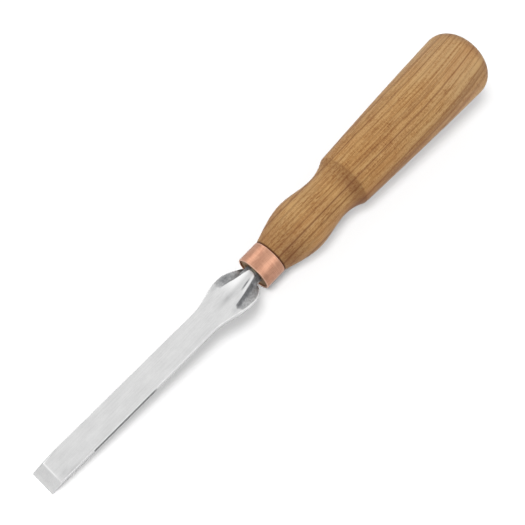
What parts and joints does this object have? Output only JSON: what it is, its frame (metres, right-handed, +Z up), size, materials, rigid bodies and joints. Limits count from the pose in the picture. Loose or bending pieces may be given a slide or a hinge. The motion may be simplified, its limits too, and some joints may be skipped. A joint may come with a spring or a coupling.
{
  "type": "flat carving chisel",
  "caption": "Flat carving chisel lying bevel up: parallel steel blade with forged wings, copper ferrule and a turned wooden handle with a domed butt.",
  "frame": {"origin": "middle of the tool's outer box, on the bench that it lies on", "axes": "+X from the cutting edge to the butt, level along the bench; +Z up, away from the bench, on the bevel's side; +Y to the left of someone who looks along +X"},
  "size_m": [0.2497, 0.032, 0.0356],
  "materials": {
    "steel": "satin ground",
    "copper": "satin turned",
    "wood": "oiled",
    "glue": "set epoxy"
  },
  "bodies": {
    "root": {"blade": "steel", "ferrule": "copper", "handle": "wood", "tang_glue": "glue"}
  },
  "joints": []
}
